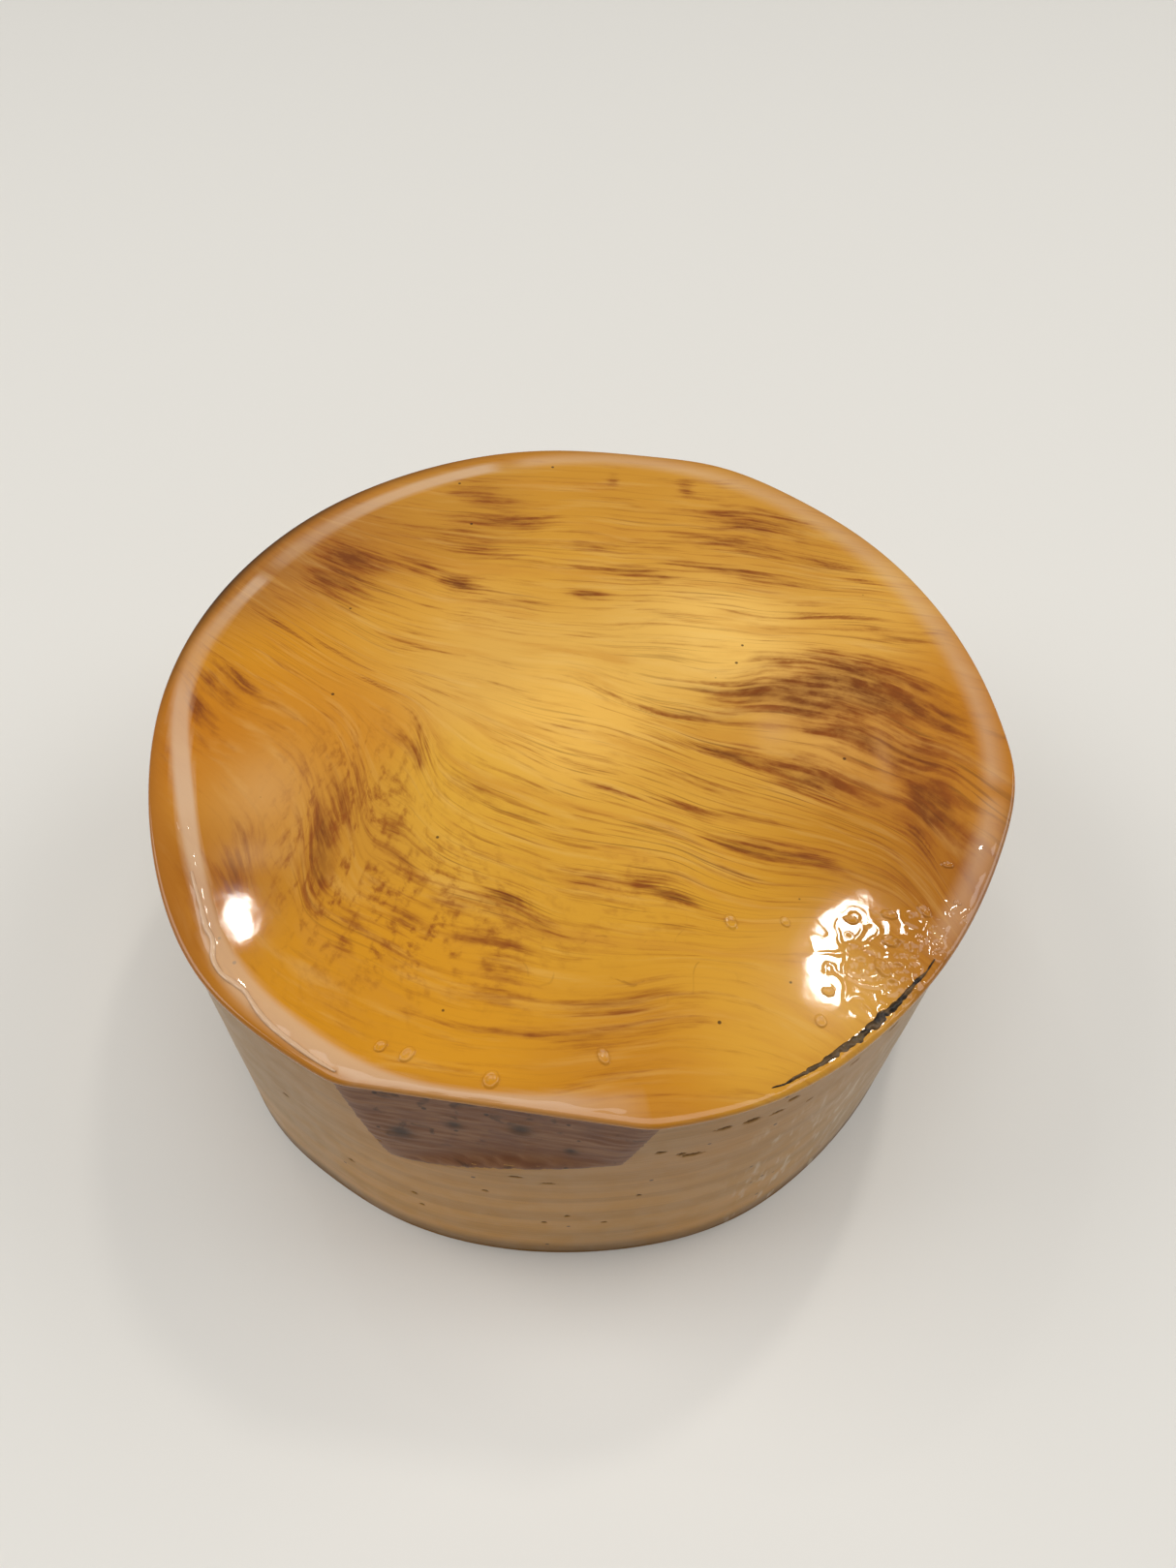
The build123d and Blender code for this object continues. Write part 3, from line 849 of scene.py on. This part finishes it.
def sawnWoodUnderParaffin():
    # Bandsawn side wood under a thin dipped skin of paraffin, gone grey: tan, satin, with pits and scuffs,
    # with painted sheen greying the flanks and painted glints on the scuffs.
    material, tree, shader = newMaterial("greyedParaffinOverSawnWoodPaintedSheen")
    place = addNode(tree, "TexCoord").outputs["Object"]
    parts = addNode(tree, "SeparateXYZ", {0: place})
    c = {name: hexColour(text) for name, text in sideColours.items() if name != "scuffGlintPlace"}

    def banded(across, tall, detail, seed):
        size = addNode(tree, "Mapping", {"Vector": place, "Scale": (1 / across, 1 / across, 1 / tall),
                                         "Location": (seed, seed, seed)})
        inputs = {"Vector": size.outputs[0], "Scale": 1.0, "Detail": detail}
        return addNode(tree, "TexNoise", inputs).outputs["Fac"]

    depth = ranged(tree, parts.outputs["Z"], 0.010, 0.070)
    colour = mixed(tree, depth, c["low"], c["high"])
    layers = banded(0.900, 0.0060, 2.0, 2.0)
    colour = mixed(tree, ranged(tree, layers, 0.42, 0.62, 0.0, 0.40), colour, c["band"])
    fibres = banded(0.030, 0.0007, 3.0, 5.0)
    colour = mixed(tree, ranged(tree, fibres, 0.50, 0.75, 0.0, 0.15), colour, c["dark"])
    fog = addNode(tree, "TexNoise", {"Vector": place, "Scale": 1 / 0.045, "Detail": 1.0}).outputs["Fac"]
    # painted sheen: the left and right flanks are greyed further, as the wax mirrors the bright room at a
    # slant; the fog noise above is the wax's own grey
    sides = ranged(tree, sums(tree, "ABSOLUTE", parts.outputs["X"]), 0.025, 0.085, 0.0, 0.68)
    greyWaxAndSheenShare = sums(tree, "ADD", ranged(tree, fog, 0.45, 0.72, 0.0, 0.25), sides)
    colour = mixed(tree, greyWaxAndSheenShare, colour, c["fog"])
    foot = ranged(tree, parts.outputs["Z"], 0.009, 0.001, 0.0, 0.6)
    colour = mixed(tree, foot, colour, c["dark"])
    # upright scuffs at the front right, painted pale: painted glints of the lamps on the scuffed wax
    scuffGlints = ranged(tree, banded(0.0022, 0.0090, 5.0, 9.0), 0.52, 0.72, 0.0, 0.55)
    for axis, none, full in sideColours["scuffGlintPlace"]:
        scuffGlints = sums(tree, "MULTIPLY", scuffGlints, ranged(tree, parts.outputs[axis], none, full))
    colour = mixed(tree, scuffGlints, colour, c["scuffGlint"])
    dots = addNode(tree, "TexVoronoi", {"Vector": place, "Scale": 1 / 0.008}).outputs["Distance"]
    colour = mixed(tree, ranged(tree, dots, 0.07, 0.04, 0.0, 0.75), colour, c["pit"])
    colour = mixed(tree, painted(tree, "pit"), colour, c["pit"])
    tree.links.new(colour, shader.inputs["Base Color"])
    worn = addNode(tree, "TexNoise", {"Vector": place, "Scale": 1 / 0.006, "Detail": 5.0}).outputs["Fac"]
    tree.links.new(ranged(tree, worn, 0.35, 0.7, 0.36, 0.46), shader.inputs["Roughness"])
    shader.inputs["IOR"].default_value = 1.43
    shader.inputs["Specular IOR Level"].default_value = 0.3  # the wax is scuffed and dusty
    rough = addNode(tree, "TexNoise", {"Vector": place, "Scale": 1 / 0.0016, "Detail": 4.0, "Roughness": 0.6})
    bump = addNode(tree, "Bump", {"Height": rough.outputs["Fac"], "Strength": 0.25, "Distance": 0.12 * mm})
    bump = addNode(tree, "Bump", {"Height": fibres, "Strength": 0.25, "Distance": 0.2 * mm,
                                  "Normal": bump.outputs[0]})
    tree.links.new(bump.outputs[0], shader.inputs["Normal"])
    return material


sideColours = {
    "high": "#bb8b51",
    "low": "#cf984b",
    "band": "#a87b3c",
    "dark": "#523718",
    "fog": "#a28a6b",
    "pit": "#191009",
    # colour of the painted glints on the scuffs
    "scuffGlint": "#dccfb8",
    "scuffGlintPlace": [("X", 0.030, 0.042), ("X", 0.072, 0.056), ("Y", -0.035, -0.055), ("Z", 0.066, 0.050)],
}
sawnSideUnderWax = sawnWoodUnderParaffin()


def rawFiguredWood():
    # The wood itself, sawn and still unsealed under the wax: matt tan with darker growth layers.
    material, tree, shader = newMaterial("sawnFiguredWood")
    place = addNode(tree, "TexCoord").outputs["Object"]
    layer = addNode(tree, "Mapping", {"Vector": place, "Scale": (1 / 0.25, 1 / 0.020, 1 / 0.004)})
    growth = addNode(tree, "TexNoise", {"Vector": layer.outputs[0], "Scale": 1.0, "Detail": 5.0})
    light, dark = hexColour("#c99a5b"), hexColour("#8f5f2c")
    share = ranged(tree, growth.outputs["Fac"], 0.40, 0.65)
    tree.links.new(mixed(tree, share, light, dark), shader.inputs["Base Color"])
    bump = addNode(tree, "Bump", {"Height": growth.outputs["Fac"], "Strength": 0.3, "Distance": 0.2 * mm})
    tree.links.new(bump.outputs[0], shader.inputs["Normal"])
    shader.inputs["Roughness"].default_value = 0.7
    shader.inputs["IOR"].default_value = 1.53
    return material


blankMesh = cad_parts["wood_blank"].data
blankMesh.materials.clear()
blankMesh.materials.append(rawFiguredWood())
skinTree = makeSideSkin()

base = {
    "steps": 360,
    "round": 0.5 * mm,
}


def makeBase():
    bm = bmesh.new()
    top, edge = sideLow, base["round"]
    profile = [(0, top), (0.9, top), (1.0, top), (1.0, edge)]
    profile += [(1.0, edge * 0.4), (0.998, edge * 0.1), (0.994, 0.0), (0.9, 0.0), (0.5, 0.0), (0, 0)]
    spinProfile(bm, profile, base["steps"])
    for v in bm.verts:
        angle = math.degrees(math.atan2(v.co.y, v.co.x))
        radius = radiusIn(baseTree, angle, 0.5 * sideLow) - 0.05 * mm
        v.co = axisAt(v.co.z) + heading(angle) * radius * math.hypot(v.co.x, v.co.y)
    bmesh.ops.recalc_face_normals(bm, faces=bm.faces)
    bm.verts.layers.float.new("pit")
    newPiece("baseWaxSkin", bm, sawnSideUnderWax, "base_wax_coat")


makeBase()

wane = {
    "angles": (238.0, 286.0),
    "drop": 30 * mm,  # how far under the top it reaches
    "grid": 0.55 * mm,
    "proud": 0.24 * mm,
    "tuck": 0.30 * mm,
    "thick": 0.5 * mm,
    "fibre": 0.22 * mm,
    "fibreSize": (9 * mm, 1.1 * mm),
    "knots": [  # angle, depth under the top as a share of the radius, size in millimetres, height
        (250.0, 0.20, 2.6, 0.7), (264.5, 0.105, 2.2, 0.6), (256.5, 0.13, 1.6, 0.4), (270.5, 0.17, 1.4, 0.4),
    ],
}
waneColours = {
    "bark": "#7a4c2e",
    "pale": "#9a6e4a",
    "dark": "#38210f",
    "mauve": "#704835",
    "hole": "#1d110b",
}


waneTree = surfaceOf("wane_bark")
waneNear = [(0.0, 0.0), (0.7, 0.0), (-0.7, 0.0), (0.0, 0.7), (0.0, -0.7), (0.45, 0.45), (-0.45, -0.45)]


def waneShare(angle, z):
    # share of the near places, in millimetres over and up, that the CAD's bark lies behind
    perMm = math.degrees(mm / blank["radius"])
    hits = 0
    for over, up in waneNear:
        turned, level = angle + over * perMm, z + up * mm
        radius = radiusIn(waneTree, turned, level)
        hits += radius is not None and radius > 0.8 * blank["radius"]
    return ease(0.2, 0.9, hits / len(waneNear))


def makeWane():
    bm = bmesh.new()
    low, high = wane["angles"]
    wide = math.radians(high - low) * blank["radius"]
    columns, rows = round(wide / wane["grid"]), round(wane["drop"] / wane["grid"])
    bmesh.ops.create_grid(bm, x_segments=columns, y_segments=rows, size=0.5)
    dark = bm.verts.layers.float.new("dark")
    along, tall = wane["fibreSize"]
    knots = [(pitPlace(angle, depth), size * mm, deep * mm) for angle, depth, size, deep in wane["knots"]]
    for v in bm.verts:
        angle = low + (high - low) * (v.co.x + 0.5)
        z = coatLow - 0.1 * mm - wane["drop"] * (0.5 - v.co.y)
        inside = waneShare(angle, z)
        point = axisAt(z) + heading(angle) * radiusIn(skinTree, angle, z)
        run = math.radians(angle) * blank["radius"]
        grainNoise = noise.fractal(Vector((run / along, z / tall, 3.0)), 0.8, 2.0, 3)
        relief = wane["fibre"] * (grainNoise - 0.7) * inside
        for centre, size, deep in knots:
            far = (point - centre).length / size
            if far < 2.5:
                collar, dip = math.exp(-((far - 1.1) / 0.4) ** 2), math.exp(-(far / 0.7) ** 2)
                relief += deep * (0.2 * collar - 0.25 * dip)
                v[dark] = max(v[dark], math.exp(-(far / 0.9) ** 2))
        lift = max(relief + wane["proud"], 0.08 * mm) * inside - wane["tuck"] * (1 - inside)
        v.co = point + heading(angle) * lift
    bmesh.ops.recalc_face_normals(bm, faces=bm.faces)
    if sum(f.normal.y for f in bm.faces) > 0:
        bmesh.ops.reverse_faces(bm, faces=bm.faces)
    thicken(newPiece("waneInnerBark", bm, innerBarkUnderWax, "wane_bark"), wane["thick"])


def innerBarkUnderParaffin():
    # Inner bark left on the log's outside, under a thin wax skin: mauve-brown, stringy, satin.
    material, tree, shader = newMaterial("innerBarkUnderParaffin")
    place = addNode(tree, "TexCoord").outputs["Object"]
    c = {name: hexColour(text) for name, text in waneColours.items()}
    size = addNode(tree, "Mapping", {"Vector": place, "Scale": (1 / 0.010, 1 / 0.010, 1 / 0.0010)})
    inputs = {"Vector": size.outputs[0], "Scale": 1.0, "Detail": 5.0}
    strings = addNode(tree, "TexNoise", inputs).outputs["Fac"]
    colour = mixed(tree, ranged(tree, strings, 0.32, 0.70, 0.0, 0.75), c["bark"], c["pale"])
    blot = addNode(tree, "TexNoise", {"Vector": place, "Scale": 1 / 0.007, "Detail": 3.0}).outputs["Fac"]
    colour = mixed(tree, ranged(tree, blot, 0.50, 0.70, 0.0, 0.6), colour, c["mauve"])
    stain = addNode(tree, "TexNoise", {"Vector": place, "Scale": 1 / 0.0042, "Detail": 4.0,
                                       "Distortion": 0.6})
    colour = mixed(tree, ranged(tree, stain.outputs["Fac"], 0.58, 0.72, 0.0, 0.7), colour, c["dark"])
    colour = mixed(tree, painted(tree, "dark"), colour, c["dark"])
    holes = addNode(tree, "TexVoronoi", {"Vector": place, "Scale": 1 / 0.0048}).outputs["Distance"]
    colour = mixed(tree, ranged(tree, holes, 0.13, 0.07, 0.0, 0.8), colour, c["hole"])
    tree.links.new(colour, shader.inputs["Base Color"])
    shader.inputs["Roughness"].default_value = 0.45
    shader.inputs["IOR"].default_value = 1.43
    shader.inputs["Specular IOR Level"].default_value = 0.35
    bump = addNode(tree, "Bump", {"Height": strings, "Strength": 0.35, "Distance": 0.2 * mm})
    tree.links.new(bump.outputs[0], shader.inputs["Normal"])
    return material


innerBarkUnderWax = innerBarkUnderParaffin()
makeWane()

bark = {
    "angles": (292.5, 321.0),
    "steps": 150,
    "across": 10,
    "inset": 2.0 * mm,  # its middle, in from the rim
    "halfWide": 1.25 * mm,
    "thickest": 304.5,
    "proud": 0.30 * mm,
    "rugged": 0.45 * mm,
}
barkColours = {
    "grey": "#5c4527",
    "dark": "#1b1209",
    "olive": "#66501f",
}


def makeBark():
    bm = bmesh.new()
    start, end = bark["angles"]
    profile = [(1.0 + i / bark["across"], 1.0) for i in range(bark["across"] + 1)] + [(2.0, 0.0), (1.0, 0.0)]
    spinProfile(bm, profile + profile[:1], bark["steps"], end - start, start)
    bmesh.ops.holes_fill(bm, edges=[e for e in bm.edges if e.is_boundary], sides=0)
    for v in bm.verts:
        angle = math.degrees(math.atan2(v.co.y, v.co.x)) % 360
        t = math.hypot(v.co.x, v.co.y) - 1.0
        run = math.radians(angle) * blank["radius"]
        ends = ease(start, bark["thickest"], angle) * ease(end, bark["thickest"] + 3, angle)
        ragged = 0.75 + 0.6 * noise.noise(Vector((run / (2.2 * mm), t, 0)))
        half = bark["halfWide"] * (0.22 + 0.78 * ends) * ragged
        middle = rimRadius(angle) - bark["inset"] + 0.3 * mm * noise.noise(Vector((run / (4 * mm), 5, 0)))
        out = axisAt(height) + heading(angle) * (middle + half * (2 * t - 1))
        hump = math.sin(math.pi * clamp(t)) * ease(start, start + 2, angle) * ease(end, end - 2, angle)
        rise = bark["proud"] * hump - 0.15 * mm * (1 - hump)
        rise += bark["rugged"] * hump * noise.noise(out / (0.9 * mm))
        out.z = height + topRelief(out.x, out.y) + (rise if v.co.z > 0.5 else -0.6 * mm)
        v.co = out
    bmesh.ops.recalc_face_normals(bm, faces=bm.faces)
    newPiece("barkStrip", bm, outerBarkUnderWax, "bark_strip")


def outerBarkUnderParaffin():
    # Rough outer bark caught in the edge, wetted with wax: grey-brown to black, with a broken wet gloss.
    material, tree, shader = newMaterial("outerBarkUnderParaffin")
    place = addNode(tree, "TexCoord").outputs["Object"]
    c = {name: hexColour(text) for name, text in barkColours.items()}
    lump = addNode(tree, "TexNoise", {"Vector": place, "Scale": 1 / 0.0022, "Detail": 5.0}).outputs["Fac"]
    colour = mixed(tree, ranged(tree, lump, 0.38, 0.60), c["dark"], c["grey"])
    tint = addNode(tree, "TexNoise", {"Vector": place, "Scale": 1 / 0.006, "Detail": 2.0}).outputs["Fac"]
    colour = mixed(tree, ranged(tree, tint, 0.5, 0.7, 0.0, 0.6), colour, c["olive"])
    tree.links.new(colour, shader.inputs["Base Color"])
    shader.inputs["Roughness"].default_value = 0.6
    shader.inputs["Coat Weight"].default_value = 0.15
    shader.inputs["Coat Roughness"].default_value = 0.15
    shader.inputs["Specular IOR Level"].default_value = 0.3
    bump = addNode(tree, "Bump", {"Height": lump, "Strength": 0.6, "Distance": 0.3 * mm})
    tree.links.new(bump.outputs[0], shader.inputs["Normal"])
    return material


outerBarkUnderWax = outerBarkUnderParaffin()
makeBark()

blister = {
    "steps": 40,
    "profile": [(0, 0.45), (0.25, 0.50), (0.45, 0.72), (0.60, 0.95), (0.72, 1.0), (0.84, 0.82), (0.94, 0.45),
                (1.02, 0.12), (1.12, -0.10), (1.25, -0.25), (1.25, -0.8), (0, -0.8)],
    "tall": 0.36 * mm,
    "seed": 4,
}


def blisterPlaces():
    # centre and radius of every blister in the CAD node
    bm = bmesh.new()
    bm.from_mesh(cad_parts["wax_blisters"].data)
    bmesh.ops.remove_doubles(bm, verts=bm.verts, dist=0.001 * mm)
    left, places = set(bm.verts), []
    while left:
        group, edge = set(), [next(iter(left))]
        while edge:
            v = edge.pop()
            if v not in group:
                group.add(v)
                edge += [e.other_vert(v) for e in v.link_edges]
        left -= group
        middle = sum((v.co for v in group), Vector()) / len(group)
        places.append((middle, max((v.co.xy - middle.xy).length for v in group)))
    bm.free()
    return sorted(places, key=lambda place: place[0].x)


def makeBlisters():
    rng = random.Random(blister["seed"])
    bm = bmesh.new()
    for middle, radius in blisterPlaces():
        one = bmesh.new()
        spinProfile(one, blister["profile"], blister["steps"])
        long, turn = rng.uniform(1.0, 1.45), rng.uniform(-0.5, 0.5)
        angle = math.atan2(middle.y, middle.x)
        tall = blister["tall"] * (0.5 + radius / (2.4 * mm))
        bmesh.ops.scale(one, verts=one.verts, vec=(radius * long, radius * 0.85, tall))
        bmesh.ops.rotate(one, verts=one.verts, matrix=Matrix.Rotation(angle + turn, 3, "Z"))
        bmesh.ops.translate(one, verts=one.verts, vec=(middle.x, middle.y, height))
        for v in one.verts:
            v.co.z += topRelief(v.co.x, v.co.y)
            v.co.xy += Vector((noise.noise(v.co / (1.2 * mm)), noise.noise(v.co / (1.3 * mm)))) * 0.12 * mm
        mesh = bpy.data.meshes.new("blister")
        one.to_mesh(mesh)
        one.free()
        bm.from_mesh(mesh)
        bpy.data.meshes.remove(mesh)
    bmesh.ops.recalc_face_normals(bm, faces=bm.faces)
    paintFigure(bm)
    newPiece("waxBlisters", bm, woodUnderWax, "wax_blisters")


makeBlisters()

runs = {
    "path": [  # angle, share of the radius and half width along the wavy front-left run
        (208.0, 0.926, 0.25), (211.0, 0.932, 0.40), (213.5, 0.936, 0.30), (215.5, 0.945, 0.55),
        (217.5, 0.951, 0.60), (219.0, 0.950, 0.45), (220.3, 0.962, 0.60), (221.2, 0.974, 0.50),
        (223.5, 0.980, 0.35), (225.0, 0.974, 0.55), (227.5, 0.966, 0.45), (229.0, 0.972, 0.40),
        (231.5, 0.981, 0.55), (234.0, 0.984, 0.45), (237.0, 0.985, 0.50), (240.5, 0.988, 0.40),
        (243.0, 0.988, 0.2),
    ],
    "sides": 4,
    "waveSize": 1.6 * mm,
}


def makeRuns():
    curve = bpy.data.curves.new("waxRuns", "CURVE")
    curve.dimensions = "3D"
    curve.bevel_depth = 1.0 * mm
    curve.bevel_resolution = runs["sides"]
    curve.use_fill_caps = True
    spline = curve.splines.new("NURBS")
    spline.points.add(len(runs["path"]) - 1)
    for point, (angle, share, half) in zip(spline.points, runs["path"]):
        place = axisAt(height) + heading(angle) * share * blank["radius"]
        point.co = (*place, 1)
        point.radius = half
    spline.order_u = 4
    spline.use_endpoint_u = True
    holder = bpy.data.objects.new("runCurve", curve)
    bpy.context.scene.collection.objects.link(holder)
    mesh = bpy.data.meshes.new_from_object(holder.evaluated_get(bpy.context.evaluated_depsgraph_get()))
    bpy.data.objects.remove(holder)
    bm = bmesh.new()
    bm.from_mesh(mesh)
    bmesh.ops.remove_doubles(bm, verts=bm.verts, dist=0.001 * mm)
    for v in bm.verts:
        flat = (v.co.z - height) * 0.65
        wave = 0.20 * mm * noise.noise(v.co / runs["waveSize"])
        v.co.z = height + topRelief(v.co.x, v.co.y) + lap["proud"] * 0.6 + flat + wave
    bmesh.ops.recalc_face_normals(bm, faces=bm.faces)
    paintFigure(bm)
    milkAndGlint = bm.verts.layers.float["milkAndGlint"]
    for v in bm.verts:  # painted highlight: the runs are painted fully milky, paler than the lap, so their ridges read as pale glints
        v[milkAndGlint] = 1.0
    newPiece("waxRuns", bm, woodUnderWax, "wax_runs")


makeRuns()

stage = {
    "floorSize": 4.0,
    "floor": "#e4e1da",
    "world": "#f4f4f4",
    "worldStrength": 0.26,
    "lampHigh": 1.5,  # how far the ceiling lamps hang from the spots they shine in
    "softBoxes": [  # place, size, power
        ((-1.5, 0.2, 1.3), (1.2, 1.2), 14.5),
        ((1.5, 0.4, 1.3), (1.2, 1.2), 13.5),
        ((0.0, 0.0, 1.9), (1.4, 1.0), 11.0),
    ],
}


def makeFloor():
    bm = bmesh.new()
    bmesh.ops.create_grid(bm, x_segments=1, y_segments=1, size=stage["floorSize"] / 2)
    mesh = bpy.data.meshes.new("floor")
    bm.to_mesh(mesh)
    bm.free()
    floor = bpy.data.objects.new("floor", mesh)
    bpy.context.scene.collection.objects.link(floor)
    material, _, shader = newMaterial("paleEnamelTable")
    shader.inputs["Base Color"].default_value = hexColour(stage["floor"])
    shader.inputs["Roughness"].default_value = 0.45
    mesh.materials.append(material)


makeFloor()

world = bpy.data.worlds.new("room")
bpy.context.scene.world = world
world.use_nodes = True
background = world.node_tree.nodes["Background"].inputs
background["Color"].default_value = hexColour(stage["world"])
background["Strength"].default_value = stage["worldStrength"]


def addLamp(name, place, target, size, power, colour, shape="RECTANGLE"):
    data = bpy.data.lights.new(name, "AREA")
    data.shape = shape
    data.size, data.size_y = size
    data.energy = power
    data.color = hexColour(colour)[:3]
    lamp = bpy.data.objects.new(name, data)
    bpy.context.scene.collection.objects.link(lamp)
    lamp.location = place
    lamp.rotation_euler = (target - place).to_track_quat("-Z", "Y").to_euler()


view = {
    "eye": topCentre + Vector((0.0299, -1.7626, 2.1594)) * blank["radius"],
    "down": 53.93,  # degrees below level
    "roll": 0.68,
    "lens": 27.07,
}
camera = bpy.data.objects.new("camera", bpy.data.cameras.new("camera"))
bpy.context.scene.collection.objects.link(camera)
camera.location = view["eye"]
camera.rotation_mode = "XYZ"
look = Matrix.Rotation(math.radians(90 - view["down"]), 4, "X")
look @= Matrix.Rotation(math.radians(view["roll"]), 4, "Z")
camera.rotation_euler = look.to_euler()
camera.data.sensor_width = 36
camera.data.lens = view["lens"]
camera.data.clip_start = 0.01
bpy.context.scene.camera = camera

glints = [  # place on the top as a share of the radius, lamp size, power
    ((-0.69, -0.555), (0.030, 0.056), 0.34),
    ((0.55, -0.61), (0.085, 0.150), 2.2),
]
mirrored = Vector((view["eye"].x, view["eye"].y, 2 * height - view["eye"].z))
for index, ((x, y), size, power) in enumerate(glints):
    spot = topCentre + Vector((x, y, 0)) * blank["radius"]
    way = (spot - mirrored).normalized()
    addLamp(f"ceilingLamp{index}", spot + way * stage["lampHigh"], spot, size, power, "#fffaf2", "ELLIPSE")
for index, (place, size, power) in enumerate(stage["softBoxes"]):
    addLamp(f"softBox{index}", Vector(place), Vector((0, 0, 0.05)), size, power, "#ffffff")
bpy.context.scene.view_settings.view_transform = "Standard"
print("stage, lamps and camera set")
